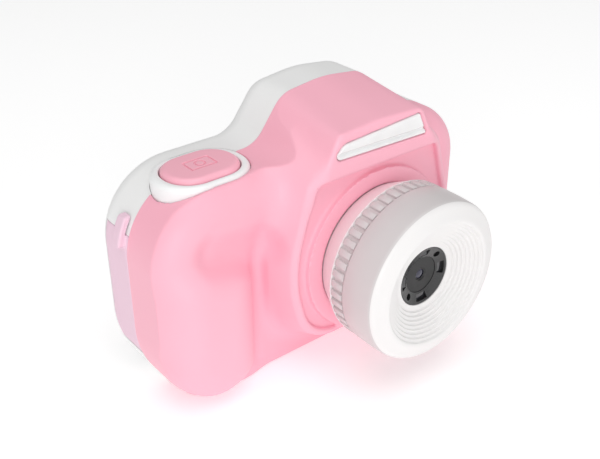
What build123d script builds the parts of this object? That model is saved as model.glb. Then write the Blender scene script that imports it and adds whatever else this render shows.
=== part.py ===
from build123d import *
import os
from math import atan, degrees

# A children's digital camera. Millimetres, +Z up. X = 0 and Z = 28.1 is the lens axis, Y = 0 is the
# parting plane between the front and the back shell, and the lens looks along -Y.
# Z = 0 is the flat underside that the camera stands on.

os.makedirs("parts", exist_ok=True)

# ---------------------------------------------------------------- driving dimensions
WALL = 1.8                      # moulded wall of both shells
LENS_Z = 28.1                   # height of the lens axis
FRONT_DEPTH = 10.3              # parting plane to the plain front face
BACK_DEPTH = 14.0               # parting plane to the back face
FRONT_ROUNDING = 7.0            # rounding of the front face into the sides
BACK_ROUNDING = 6.0             # rounding of the back face into the sides
BURIED = 5.5                    # how far the outline runs on below the flat underside
SIDE_LEFT = -53.0
SIDE_RIGHT = 38.2
SHOULDER_Z = 52.8               # top edge on the grip side
RIGHT_SHOULDER_Z = 49.4         # top edge on the other side, a little lower
HUMP_TOP_Z = 64.3
HUMP_CORNER = (11.8, 62.9)      # x and z of the hump's upper corner
HUMP_DEPTH = 20.3               # parting plane to the front of the hump
BLOCK_DEPTH = 19.7              # parting plane to the rim of the lens block
RECESS_DEPTH = 1.1              # depth of the flat field inside that rim
RIM_WIDTH = 1.7                 # width of that rim
COLLAR_RADIUS = 20.1            # raised ring round the lens hole
COLLAR_DEPTH = 19.9
GRIP_DEPTH = 17.2               # parting plane to the front of the hand grip
GRIP_ROUNDING = 8.4
POD_DEPTH = 13.6                # parting plane to the front of the pod under the shutter button
POD_ROUNDING = 6.6
FLANK_START = 8.0               # where the lens block's flanks begin, inside the front face
FLANK_RUN = 4.2                 # how far the flanks spread between the rim and that depth
CLEAR = 0.2                     # gap round pieces that move in an opening

# Corners of the outlines as (x, z, radius).
SLAB_CORNERS = [
    (SIDE_LEFT, -BURIED, 24),
    (SIDE_RIGHT, -BURIED, 19),
    (SIDE_RIGHT, RIGHT_SHOULDER_Z, 14),
    (19.4, SHOULDER_Z, 20),
    (SIDE_LEFT, SHOULDER_Z, 17),
]
BACK_CORNERS = [
    (SIDE_LEFT, -BURIED, 24),
    (SIDE_RIGHT, -BURIED, 19),
    (SIDE_RIGHT, RIGHT_SHOULDER_Z, 14),
    (19.4, SHOULDER_Z, 7),
    (HUMP_CORNER[0], HUMP_CORNER[1], 7),
    (0, HUMP_TOP_Z, 30),
    (-HUMP_CORNER[0], HUMP_CORNER[1], 7),
    (-19.4, SHOULDER_Z, 7),
    (SIDE_LEFT, SHOULDER_Z, 17),
]
HUMP_BACK_CORNERS = [
    (-24.0, 44, 2),
    (24.0, 44, 2),
    (19.8, 53.0, 7),
    (HUMP_CORNER[0], HUMP_CORNER[1], 7),
    (0, HUMP_TOP_Z, 30),
    (-HUMP_CORNER[0], HUMP_CORNER[1], 7),
    (-19.8, 53.0, 7),
]
HUMP_FRONT_CORNERS = [
    (-17.4, 44, 2),
    (17.4, 44, 2),
    (15.6, 52.8, 3),
    (12.2, 59.8, 2.5),
    (0, 60.4, 30),
    (-12.2, 59.8, 2.5),
    (-15.6, 52.8, 3),
]
BLOCK_CORNERS = [
    (-20.0, 9.4, 11.5),
    (20.0, 9.4, 11.5),
    (25.2, 29.0, 31),
    (18.6, 51.9, 4.5),
    (-18.6, 51.9, 4.5),
    (-25.2, 29.0, 31),
]
GRIP_CORNERS = [
    (-52.7, 9.0, 15),
    (-42.5, -0.4, 10),
    (-29.4, 3.3, 8.6),
    (-29.4, 33.6, 8.6),
    (-52.4, 43.4, 9),
]
POD_CORNERS = [
    (SIDE_LEFT, 14.0, 7),
    (-39.0, 14.0, 7),
    (-36.5, 36.8, 5),
    (-19.5, 39.4, 7),
    (-18.5, SHOULDER_Z, 7),
    (SIDE_LEFT, SHOULDER_Z, 17),
]

FRONT_PLANE = Plane.XZ                      # local x = X, local y = Z, normal = -Y
LENS_AXIS = Axis((0, 0, LENS_Z), (0, -1, 0))
# Half plane through the lens axis: local x runs forwards, local y is the radius.
LENS_SECTION = Plane(origin=(0, 0, LENS_Z), x_dir=(0, -1, 0), z_dir=(-1, 0, 0))


def save(piece, name):
    """Label a finished piece and write its STEP file."""
    piece.part.label = name
    export_step(piece.part, f"parts/{name}.step")


def forward(distance):
    """The XZ plane moved forwards from the parting plane, normal to the front."""
    return Plane.XZ.offset(distance)


def outline(corners, grow=0.0):
    """A flat face with rounded corners, offset outwards by grow."""
    points = [(x, z) for x, z, radius in corners]
    radii = [radius for x, z, radius in corners]
    with BuildSketch() as shape:
        with BuildLine():
            FilletPolyline(*points, radius=radii, close=True)
        make_face()
        if grow:
            offset(amount=grow)
    return shape.sketch


def slab_form(corners, depth, rounding, inset, side):
    """A rounded slab from the parting plane to one face; side is 1 for the front, -1 for the back."""
    profile = outline(corners, -inset)
    with BuildPart() as slab:
        with BuildSketch(FRONT_PLANE):
            add(profile)
        extrude(amount=side * (depth - inset))
        face = slab.faces().sort_by(Axis.Y)[0 if side == 1 else -1]
        fillet(face.edges(), rounding - inset)
        with BuildSketch(Plane.XY.offset(inset)):
            Rectangle(200, 100)
        extrude(amount=-50, mode=Mode.SUBTRACT)
    return slab.part


def hump_form(inset):
    """The viewfinder hump of the front shell, sloping down to the front."""
    back_profile = outline(HUMP_BACK_CORNERS, -inset)
    front_profile = outline(HUMP_FRONT_CORNERS, -inset)
    with BuildPart() as hump:
        with BuildSketch(FRONT_PLANE):
            add(back_profile)
        with BuildSketch(forward(HUMP_DEPTH - inset)):
            add(front_profile)
        loft(ruled=True)
    return hump.part


def block_form(inset):
    """The raised block round the lens, with sloping flanks."""
    height = BLOCK_DEPTH - FLANK_START
    profile = outline(BLOCK_CORNERS, FLANK_RUN - inset)
    with BuildPart() as block:
        with BuildSketch(forward(FLANK_START)):
            add(profile)
        extrude(amount=height - inset, taper=degrees(atan(FLANK_RUN / height)))
    return block.part


def bulge_form(corners, depth, rounding, inset):
    """A rounded bulge of the front shell, such as the hand grip."""
    profile = outline(corners, -inset)
    with BuildPart() as bulge:
        with BuildSketch(FRONT_PLANE):
            add(profile)
        extrude(amount=depth - inset)
        fillet(bulge.faces().sort_by(Axis.Y)[0].edges(), rounding - inset)
    return bulge.part


def block_of(x_span, y_span, z_span):
    """A plain block between two limits on each axis."""
    size = [high - low for low, high in (x_span, y_span, z_span)]
    middle = [(high + low) / 2 for low, high in (x_span, y_span, z_span)]
    with BuildPart() as block:
        with Locations(tuple(middle)):
            Box(*size)
    return block.part


def rod(x, z, radius, y_low, y_high):
    """A round bar along Y between two depths."""
    with BuildPart() as bar:
        with BuildSketch(forward(-y_high)):
            with Locations((x, z)):
                Circle(radius)
        extrude(amount=y_high - y_low)
    return bar.part


def turned(points):
    """A ring or disc turned about the lens axis from (forward distance, radius) points."""
    with BuildPart() as ring:
        with BuildSketch(LENS_SECTION):
            with BuildLine():
                Polyline(*points, close=True)
            make_face()
        revolve(axis=LENS_AXIS)
    return ring.part


# ---------------------------------------------------------------- places shared by several pieces
BOSSES = [(-19.8, 45.5), (-42.0, 5.6), (26.0, 46.9), (28.2, 5.6)]     # housing screws (x, z)
SCREW_HEAD_Y = 8.0
SHUTTER_X = -35.2
SHUTTER_Y = -2.4
BEZEL_SIZE = (21.8, 16.6, 8.0)          # length, width, corner radius
BUTTON_SIZE = (17.4, 12.8, 6.1)
BEZEL_BOTTOM = 44.0
BEZEL_TOP = 53.2
BEZEL_FLOOR = 46.6
BUTTON_TOP = 54.2
SCREEN_X = 7.5
SCREEN_Z = 26.0
SCREEN_SIZE = (43.4, 33.4)
KEY_FRONT_Y = 11.0
KEY_BACK_Y = 15.0
KEYS = {                                # name: (x, z, radius)
    "key_ok": (-35.0, 26.0, 3.3),
    "key_up": (-35.0, 33.6, 3.1),
    "key_down": (-35.0, 18.4, 3.1),
    "key_left": (-27.4, 26.0, 3.1),
    "key_right": (-42.6, 26.0, 3.1),
    "key_mode": (-30.5, 42.0, 2.5),
    "key_power": (-40.0, 42.0, 2.5),
}
FLASH_CORNERS = [
    (-14.3, 54.1, 1.2),
    (13.9, 53.2, 0.5),
    (11.3, 58.9, 0.8),
    (-11.0, 57.6, 3.0),
]
DOOR_Z = (11.0, 41.5)                   # bottom and top of the side door's opening
DOOR_Y = (0.0, 9.8)
DOOR_SKIN = 1.5
TAB_Y = (0.9, 3.9)                      # pull tab of the door
TAB_Z = (38.6, 45.4)
CARD_Z = 19.0
USB_Z = 31.5
PORT_Y = 5.0
LENS_HOLE = 15.7
LOCK_RADIUS = 17.2                      # ring that locks the lens base behind the front wall
LOCK_FRONT = 16.9
SPEAKER_Z = 54.2


def shutter_outline(size, gap=0.0):
    """The oval of the shutter button or its bezel, seen from above."""
    length, width, corner = size
    with BuildSketch() as oval:
        with Locations((SHUTTER_X, SHUTTER_Y)):
            RectangleRounded(length + 2 * gap, width + 2 * gap, corner + gap)
    return oval.sketch


def upright(profile, bottom, top):
    """A profile seen from above, raised from one height to another."""
    with BuildPart() as prism:
        with BuildSketch(Plane.XY.offset(bottom)):
            add(profile)
        extrude(amount=top - bottom)
    return prism.part


bezel_hole = upright(shutter_outline(BEZEL_SIZE, 0.1), 40, 60)

# ---------------------------------------------------------------- front shell
front_outer = slab_form(SLAB_CORNERS, FRONT_DEPTH, FRONT_ROUNDING, 0, 1)
front_cavity = slab_form(SLAB_CORNERS, FRONT_DEPTH, FRONT_ROUNDING, WALL, 1)
hump_outer = hump_form(0)
hump_cavity = hump_form(WALL)
block_outer = block_form(0)
block_cavity = block_form(WALL + RECESS_DEPTH)
grip_outer = bulge_form(GRIP_CORNERS, GRIP_DEPTH, GRIP_ROUNDING, 0)
grip_cavity = bulge_form(GRIP_CORNERS, GRIP_DEPTH, GRIP_ROUNDING, WALL)
pod_outer = bulge_form(POD_CORNERS, POD_DEPTH, POD_ROUNDING, 0)
pod_cavity = bulge_form(POD_CORNERS, POD_DEPTH, POD_ROUNDING, WALL)
recess_profile = outline(BLOCK_CORNERS, -RIM_WIDTH)
flash_profile = outline(FLASH_CORNERS)

with BuildPart() as front_solid:
    for form in (front_outer, hump_outer, block_outer, grip_outer, pod_outer):
        add(form)
    with BuildSketch(forward(BLOCK_DEPTH - RECESS_DEPTH)):
        add(recess_profile)
    extrude(amount=4, mode=Mode.SUBTRACT)
    add(turned([(LOCK_FRONT, 0), (LOCK_FRONT, COLLAR_RADIUS), (COLLAR_DEPTH, COLLAR_RADIUS),
                (COLLAR_DEPTH, 0)]))

with BuildPart() as front_bosses:
    for boss_x, boss_z in BOSSES:
        add(rod(boss_x, boss_z, 2.6, -HUMP_DEPTH, -0.1))
    add(front_solid.part, mode=Mode.INTERSECT)

with BuildPart() as front_shell:
    add(front_solid.part)
    for hollow in (front_cavity, hump_cavity, block_cavity, grip_cavity, pod_cavity):
        add(hollow, mode=Mode.SUBTRACT)
    add(front_bosses.part)
    for boss_x, boss_z in BOSSES:
        add(rod(boss_x, boss_z, 1.0, -7.6, 0), mode=Mode.SUBTRACT)
    add(rod(0, LENS_Z, LENS_HOLE, -21, -12), mode=Mode.SUBTRACT)
    add(rod(0, LENS_Z, LOCK_RADIUS + CLEAR, -LOCK_FRONT, -14.5), mode=Mode.SUBTRACT)
    with BuildSketch(forward(16.5)):
        add(flash_profile)
    extrude(amount=6, mode=Mode.SUBTRACT)
    add(bezel_hole, mode=Mode.SUBTRACT)
save(front_shell, "front_shell")

# ---------------------------------------------------------------- back shell
back_outer = slab_form(BACK_CORNERS, BACK_DEPTH, BACK_ROUNDING, 0, -1)
back_cavity = slab_form(BACK_CORNERS, BACK_DEPTH, BACK_ROUNDING, WALL, -1)
under_skin = slab_form(BACK_CORNERS, BACK_DEPTH, BACK_ROUNDING, DOOR_SKIN, -1)

# The side door's opening follows the curve of the side.
with BuildPart() as door_opening:
    add(back_outer)
    add(slab_form(BACK_CORNERS, BACK_DEPTH, BACK_ROUNDING, DOOR_SKIN + 0.2, -1), mode=Mode.SUBTRACT)
    add(block_of((-60, -40), DOOR_Y, DOOR_Z), mode=Mode.INTERSECT)

with BuildPart() as port_wall:
    add(block_of((-60, -48.0), (0, 11.4), (9.2, 43.3)))
    add(back_outer, mode=Mode.INTERSECT)

with BuildPart() as back_bosses:
    for boss_x, boss_z in BOSSES:
        add(rod(boss_x, boss_z, 3.3, 0, BACK_DEPTH - 1))
    add(back_outer, mode=Mode.INTERSECT)

with BuildPart() as back_shell:
    add(back_outer)
    add(back_cavity, mode=Mode.SUBTRACT)
    add(back_bosses.part)
    add(port_wall.part)
    for boss_x, boss_z in BOSSES:
        add(rod(boss_x, boss_z, 2.1, SCREW_HEAD_Y, BACK_DEPTH + 1), mode=Mode.SUBTRACT)
        add(rod(boss_x, boss_z, 1.1, -1, SCREW_HEAD_Y), mode=Mode.SUBTRACT)
    add(door_opening.part, mode=Mode.SUBTRACT)
    add(block_of((-51.6, -49.5), (1.4, 9.6), (12.4, 40.1)), mode=Mode.SUBTRACT)
    add(block_of((-50, -47), (3.5, 6.5), (USB_Z - 3.9, USB_Z + 3.9)), mode=Mode.SUBTRACT)
    add(block_of((-50, -47), (4.3, 5.9), (CARD_Z - 5.8, CARD_Z + 5.8)), mode=Mode.SUBTRACT)
    add(bezel_hole, mode=Mode.SUBTRACT)
    with BuildSketch(forward(-BACK_DEPTH - 1)):
        with Locations((SCREEN_X, SCREEN_Z)):
            RectangleRounded(SCREEN_SIZE[0] + 0.2, SCREEN_SIZE[1] + 0.2, 2.1)
    extrude(amount=4, mode=Mode.SUBTRACT)
    for key_x, key_z, key_radius in KEYS.values():
        add(rod(key_x, key_z, key_radius + CLEAR, 12, 15), mode=Mode.SUBTRACT)
    with BuildSketch(forward(-BACK_DEPTH - 1)):
        with Locations((0, SPEAKER_Z)):
            with HexLocations(1.3, 3, 3):
                Circle(0.6)
    extrude(amount=4, mode=Mode.SUBTRACT)
save(back_shell, "back_shell")

with BuildPart() as housing_screws:
    for boss_x, boss_z in BOSSES:
        add(rod(boss_x, boss_z, 0.95, -6.5, SCREW_HEAD_Y))
        add(rod(boss_x, boss_z, 1.9, SCREW_HEAD_Y, SCREW_HEAD_Y + 1.4))
    for boss_x, boss_z in BOSSES:
        add(block_of((boss_x - 1.2, boss_x + 1.2), (SCREW_HEAD_Y + 0.7, SCREW_HEAD_Y + 2),
                     (boss_z - 0.25, boss_z + 0.25)), mode=Mode.SUBTRACT)
        add(block_of((boss_x - 0.25, boss_x + 0.25), (SCREW_HEAD_Y + 0.7, SCREW_HEAD_Y + 2),
                     (boss_z - 1.2, boss_z + 1.2)), mode=Mode.SUBTRACT)
save(housing_screws, "housing_screws")

# ---------------------------------------------------------------- shutter button and its bezel
button_gap = upright(shutter_outline(BUTTON_SIZE, 0.25), BEZEL_FLOOR, 60)
with BuildPart() as shutter_bezel:
    add(upright(shutter_outline(BEZEL_SIZE), BEZEL_BOTTOM, BEZEL_TOP))
    fillet(shutter_bezel.faces().sort_by(Axis.Z)[-1].edges(), 1.2)
    add(button_gap, mode=Mode.SUBTRACT)
    with Locations((SHUTTER_X, SHUTTER_Y, BEZEL_BOTTOM)):
        Cylinder(2.0, 10, mode=Mode.SUBTRACT)
    for leg_x in (-9.0, 9.0):
        add(block_of((SHUTTER_X + leg_x - 0.8, SHUTTER_X + leg_x + 0.8),
                     (SHUTTER_Y - 4, SHUTTER_Y + 4), (40.9, BEZEL_BOTTOM)))
save(shutter_bezel, "shutter_bezel")

with BuildPart() as shutter_button:
    add(upright(shutter_outline(BUTTON_SIZE), 49.8, BUTTON_TOP))
    fillet(shutter_button.faces().sort_by(Axis.Z)[-1].edges(), 1.5)
    with BuildSketch(Plane.XY.offset(BUTTON_TOP - 0.3)):
        with Locations((SHUTTER_X, SHUTTER_Y)):
            Rectangle(6.4, 4.2)
            Rectangle(5.7, 3.5, mode=Mode.SUBTRACT)
            Circle(1.3)
            Circle(0.95, mode=Mode.SUBTRACT)
    extrude(amount=1, mode=Mode.SUBTRACT)
    with Locations((SHUTTER_X, SHUTTER_Y, 47.65)):
        Cylinder(1.5, 4.3)
save(shutter_button, "shutter_button")

with BuildPart() as shutter_spring:
    with BuildLine(Plane((SHUTTER_X, SHUTTER_Y, BEZEL_FLOOR + 0.25))):
        coil = Helix(pitch=0.85, height=2.65, radius=3.0)
    with BuildSketch(Plane(origin=coil @ 0, z_dir=coil % 0)):
        Circle(0.2)
    sweep(is_frenet=True)
save(shutter_spring, "shutter_spring")

with BuildPart() as shutter_switch:
    with Locations((SHUTTER_X, SHUTTER_Y, 42.15)):
        Box(6, 6, 2.5)
    fillet(shutter_switch.edges().filter_by(Axis.Z), 0.4)
    with Locations((SHUTTER_X, SHUTTER_Y, 43.8)):
        Cylinder(1.6, 0.8)
save(shutter_switch, "shutter_switch")

with BuildPart() as shutter_board:
    with Locations((SHUTTER_X, SHUTTER_Y, 40.4)):
        Box(20, 12, 1.0)
    fillet(shutter_board.edges().filter_by(Axis.Z), 1.0)
save(shutter_board, "shutter_board")

# ---------------------------------------------------------------- flash
window_profile = outline(FLASH_CORNERS, -0.05)
with BuildPart() as flash_window:
    with BuildSketch(forward(18.9)):
        add(window_profile)
    extrude(amount=1.5)
    chamfer(flash_window.faces().sort_by(Axis.Y)[0].edges(), 0.3)
save(flash_window, "flash_window")

with BuildPart() as flash_reflector:
    add(block_of((-10.4, 11.4), (-18.8, -14.6), (54.3, 57.2)))
    with BuildSketch(forward(18.8)):
        with Locations((0.5, 55.75)):
            Rectangle(20.8, 2.3)
    with BuildSketch(forward(14.6)):
        with Locations((0.5, 55.75)):
            Rectangle(19.4, 1.7)
    loft(mode=Mode.SUBTRACT)
save(flash_reflector, "flash_reflector")

with BuildPart() as flash_board:
    add(block_of((-11.6, 11.6), (-14.5, -13.5), (51.8, 56.6)))
save(flash_board, "flash_board")

with BuildPart() as flash_leds:
    for led_x in (-7.5, 0, 7.5):
        add(block_of((led_x - 1.4, led_x + 1.4), (-15.3, -14.5), (55.05, 56.45)))
save(flash_leds, "flash_leds")

# ---------------------------------------------------------------- lens: fixed base, turning ring, barrel
with BuildPart() as lens_base_ring:
    add(turned([(16.2, 13.6), (16.2, 15.6), (19.95, 15.6), (19.95, 16.2), (25.8, 19.1),
                (25.8, 17.2), (33.0, 17.2), (33.0, 15.8), (24.5, 15.8), (20.5, 13.6)]))
save(lens_base_ring, "lens_base_ring")

with BuildPart() as lens_lock_ring:
    add(turned([(15.0, 13.7), (15.0, LOCK_RADIUS), (16.8, LOCK_RADIUS), (16.8, 15.75), (16.1, 15.75), (16.1, 13.7)]))
save(lens_lock_ring, "lens_lock_ring")

TEETH = 48
RING_BACK = 25.95
RING_FRONT = 29.55
with BuildPart() as focus_ring:
    add(turned([(RING_BACK, 17.3), (RING_BACK, 18.75), (RING_FRONT, 18.75), (RING_FRONT, 17.3)]))
    with BuildSketch(Plane(origin=(0, -RING_BACK - 0.2, LENS_Z), x_dir=(1, 0, 0), z_dir=(0, -1, 0))):
        with PolarLocations(18.8, TEETH):
            Rectangle(0.7, 1.5)
    extrude(amount=RING_FRONT - RING_BACK - 0.4)
save(focus_ring, "focus_ring")

DISH_STEPS = 8
DISH_RIM = (39.75, 14.4)
DISH_FLOOR = (35.3, 7.9)
step_out = (DISH_RIM[0] - DISH_FLOOR[0]) / DISH_STEPS
step_in = (DISH_RIM[1] - DISH_FLOOR[1]) / DISH_STEPS
dish = []
for step in range(DISH_STEPS):
    dish.append((DISH_RIM[0] - step * step_out, DISH_RIM[1] - step * step_in))
    dish.append((DISH_RIM[0] - (step + 1) * step_out, DISH_RIM[1] - (step + 0.15) * step_in))
with BuildPart() as lens_barrel:
    add(turned([(29.7, 17.3), (29.7, 19.0), (30.0, 19.2), (34.0, 19.15), (37.8, 18.9), (38.5, 18.5),
                (39.8, 15.2)] + dish + [(35.3, 7.1), (33.4, 7.1), (33.4, 8.6), (37.6, 15.0),
                                        (36.9, 17.3)]))
save(lens_barrel, "lens_barrel")

# ---------------------------------------------------------------- black lens bezel and optics
BEZEL_FRONT = 35.2
BEZEL_BACK = 32.4
COVER_SEAT = 33.9


def arc_windows(inner, outer, sweep_deg, back, front):
    """Four short arcs about the lens axis, one at each quarter."""
    face = Plane(origin=(0, -back, LENS_Z), x_dir=(1, 0, 0), z_dir=(0, -1, 0))
    with BuildSketch() as wedge:
        with BuildLine():
            inside = CenterArc((0, 0), inner, -sweep_deg / 2, sweep_deg)
            outside = CenterArc((0, 0), outer, -sweep_deg / 2, sweep_deg)
            Line(inside @ 0, outside @ 0)
            Line(inside @ 1, outside @ 1)
        make_face()
    with BuildPart() as windows:
        with BuildSketch(face):
            with PolarLocations(0, 4):
                add(wedge.sketch)
        extrude(amount=front - back)
    return windows.part


with BuildPart() as lens_bezel:
    add(turned([(BEZEL_BACK, 0), (BEZEL_BACK, 7.0), (BEZEL_FRONT, 7.0), (BEZEL_FRONT, 6.8),
                (34.3, 4.4), (COVER_SEAT, 4.4), (COVER_SEAT, 0)]))
    add(arc_windows(4.85, 6.45, 30, 33.0, 36), mode=Mode.SUBTRACT)
    add(rod(0, LENS_Z, 1.2, -36, -30), mode=Mode.SUBTRACT)
    for side in (1, -1):
        add(rod(4.0 * side, LENS_Z + 4.0 * side, 0.75, -36, -33.5), mode=Mode.SUBTRACT)
        add(rod(4.0 * side, LENS_Z + 4.0 * side, 0.4, -36, -32), mode=Mode.SUBTRACT)
save(lens_bezel, "lens_bezel")

with BuildPart() as light_windows:
    add(arc_windows(4.9, 6.4, 29, 33.0, 34.4))
save(light_windows, "light_windows")

with BuildPart() as bezel_screws:
    for side in (1, -1):
        add(rod(4.0 * side, LENS_Z + 4.0 * side, 0.35, -33.5, -31.0))
        add(rod(4.0 * side, LENS_Z + 4.0 * side, 0.7, -34.0, -33.5))
save(bezel_screws, "bezel_screws")

with BuildPart() as lens_cover:
    add(turned([(COVER_SEAT, 1.25), (COVER_SEAT, 4.3), (COVER_SEAT + 0.3, 4.3), (COVER_SEAT + 0.3, 1.6)]))
save(lens_cover, "lens_cover")

with BuildPart() as objective_lens:
    with BuildSketch(LENS_SECTION):
        with BuildLine():
            back_edge = Polyline((33.75, 1.1), (32.5, 1.1), (32.5, 0), (34.05, 0))
            ThreePointArc(back_edge @ 1, (33.97, 0.6), back_edge @ 0)
        make_face()
    revolve(axis=LENS_AXIS)
save(objective_lens, "objective_lens")

with BuildPart() as lens_holder:
    add(turned([(25.5, 2.6), (25.5, 5.4), (30.9, 5.4), (30.9, 4.6), (32.3, 4.6), (32.3, 2.6)]))
    add(block_of((-6, 6), (-25.6, -24.0), (LENS_Z - 6, LENS_Z + 6)))
    add(block_of((-3.2, 3.2), (-25.6, -23.0), (LENS_Z - 3.2, LENS_Z + 3.2)), mode=Mode.SUBTRACT)
    for side in (1, -1):
        add(rod(4.0 * side, LENS_Z + 4.0 * side, 1.2, -32.3, -30.0))
        add(rod(4.0 * side, LENS_Z + 4.0 * side, 0.4, -33, -30.5), mode=Mode.SUBTRACT)
save(lens_holder, "lens_holder")

with BuildPart() as image_sensor:
    add(block_of((-2.8, 2.8), (-24.9, -23.95), (LENS_Z - 2.8, LENS_Z + 2.8)))
save(image_sensor, "image_sensor")

with BuildPart() as sensor_board:
    add(block_of((-8, 8), (-23.95, -22.95), (LENS_Z - 8, LENS_Z + 8)))
save(sensor_board, "sensor_board")


def ribbon(width_span, turns):
    """A flat cable of straight runs, given as (y span, z span) for each run."""
    with BuildPart() as cable:
        for y_span, z_span in turns:
            add(block_of(width_span, y_span, z_span))
    return cable.part


with BuildPart() as sensor_flex:
    add(ribbon((-3, 3), [((-23.3, -23.1), (19.6, 20.1)), ((-23.3, 2.3), (19.4, 19.6)),
                         ((2.1, 2.3), (19.6, 23.0))]))
save(sensor_flex, "sensor_flex")

# ---------------------------------------------------------------- boards, battery, speaker, screen
with BuildPart() as main_board:
    add(block_of((-47.4, 33.0), (2.4, 3.5), (9.0, 38.5)))
    for boss_x, boss_z in BOSSES:
        add(rod(boss_x, boss_z, 3.7, 0, 6), mode=Mode.SUBTRACT)
save(main_board, "main_board")

with BuildPart() as main_chip:
    add(block_of((8, 18), (1.3, 2.4), (16, 26)))
save(main_chip, "main_chip")

with BuildPart() as memory_chip:
    add(block_of((-15, -7), (1.4, 2.4), (26, 32)))
save(memory_chip, "memory_chip")

with BuildPart() as battery:
    add(block_of((-48.2, -35.0), (-12.6, -3.6), (11.4, 30.6)))
    fillet(battery.edges().filter_by(Axis.Z), 2.0)
save(battery, "battery")

with BuildPart() as speaker:
    add(rod(0, SPEAKER_Z, 5.2, 9.2, 12.0))
    add(rod(0, SPEAKER_Z, 4.4, 11.4, 13), mode=Mode.SUBTRACT)
    add(rod(0, SPEAKER_Z, 4.4, 7.6, 9.2))
save(speaker, "speaker")

with BuildPart() as lcd_panel:
    add(block_of((SCREEN_X - 23.5, SCREEN_X + 23.5), (9.3, 11.7), (SCREEN_Z - 17, SCREEN_Z + 17)))
save(lcd_panel, "lcd_panel")

with BuildPart() as lcd_flex:
    add(ribbon((2, 14), [((10.1, 10.3), (8.4, 9.0)), ((3.5, 10.3), (8.2, 8.4)),
                         ((3.5, 3.7), (8.4, 14.0))]))
save(lcd_flex, "lcd_flex")

with BuildPart() as screen_window:
    with BuildSketch(forward(-13.9)):
        with Locations((SCREEN_X, SCREEN_Z)):
            RectangleRounded(SCREEN_SIZE[0], SCREEN_SIZE[1], 2.0)
    extrude(amount=1.6)
    fillet(screen_window.faces().sort_by(Axis.Y)[-1].edges(), 0.4)
save(screen_window, "screen_window")

# ---------------------------------------------------------------- keys on the back
for name, (key_x, key_z, key_radius) in KEYS.items():
    with BuildPart() as key:
        add(rod(key_x, key_z, key_radius, KEY_FRONT_Y, KEY_BACK_Y))
        fillet(key.faces().sort_by(Axis.Y)[-1].edges(), 0.7)
        add(rod(key_x, key_z, key_radius + 0.4, KEY_FRONT_Y, KEY_FRONT_Y + 0.8))
    save(key, name)

with BuildPart() as key_board:
    add(block_of((-46.5, -23.4), (7.4, 8.4), (14.0, 45.4)))
save(key_board, "key_board")

with BuildPart() as key_switches:
    for key_x, key_z, key_radius in KEYS.values():
        add(block_of((key_x - 1.8, key_x + 1.8), (8.4, 9.8), (key_z - 1.8, key_z + 1.8)))
        add(rod(key_x, key_z, 1.0, 9.8, 10.3))
save(key_switches, "key_switches")

# ---------------------------------------------------------------- ports behind the side door
with BuildPart() as usb_socket:
    add(block_of((-49.3, -43.6), (PORT_Y - 1.4, PORT_Y + 1.4), (USB_Z - 3.75, USB_Z + 3.75)))
    fillet(usb_socket.edges().filter_by(Axis.X), 0.8)
    add(block_of((-50, -44.3), (PORT_Y - 1.05, PORT_Y + 1.05), (USB_Z - 3.4, USB_Z + 3.4)),
        mode=Mode.SUBTRACT)
save(usb_socket, "usb_socket")

with BuildPart() as usb_tongue:
    add(block_of((-48.4, -44.3), (PORT_Y - 0.3, PORT_Y + 0.3), (USB_Z - 2.2, USB_Z + 2.2)))
save(usb_tongue, "usb_tongue")

with BuildPart() as card_socket:
    add(block_of((-47.9, -33.4), (PORT_Y - 1.4, PORT_Y + 1.4), (CARD_Z - 6.6, CARD_Z + 6.6)))
    add(block_of((-50, -34.2), (PORT_Y - 0.75, PORT_Y + 0.75), (CARD_Z - 5.75, CARD_Z + 5.75)),
        mode=Mode.SUBTRACT)
save(card_socket, "card_socket")

with BuildPart() as memory_card:
    add(block_of((-50.2, -35.2), (PORT_Y - 0.5, PORT_Y + 0.5), (CARD_Z - 5.5, CARD_Z + 5.5)))
    chamfer(memory_card.edges().filter_by(Axis.Y).sort_by(Axis.X)[-1], 1.2)
save(memory_card, "memory_card")

# ---------------------------------------------------------------- soft side door with its pull tab
tab_outside = slab_form(BACK_CORNERS, BACK_DEPTH, BACK_ROUNDING, -1.9, -1)
tab_inside = slab_form(BACK_CORNERS, BACK_DEPTH, BACK_ROUNDING, -0.3, -1)
with BuildPart() as pull_tab:
    add(tab_outside)
    add(tab_inside, mode=Mode.SUBTRACT)
    add(block_of((-60, -40), TAB_Y, TAB_Z), mode=Mode.INTERSECT)
with BuildPart() as tab_root:
    add(tab_outside)
    add(under_skin, mode=Mode.SUBTRACT)
    add(block_of((-60, -40), TAB_Y, (TAB_Z[0], DOOR_Z[1] - 0.3)), mode=Mode.INTERSECT)
with BuildPart() as port_door:
    add(back_outer)
    add(under_skin, mode=Mode.SUBTRACT)
    add(block_of((-60, -40), (DOOR_Y[0] + 0.15, DOOR_Y[1] - CLEAR),
                 (DOOR_Z[0] + 0.15, DOOR_Z[1] - CLEAR)), mode=Mode.INTERSECT)
    add(tab_root.part)
    add(pull_tab.part)
save(port_door, "port_door")
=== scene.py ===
import math

import bmesh
import bpy
import numpy as np
from mathutils import Matrix, Vector


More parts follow.
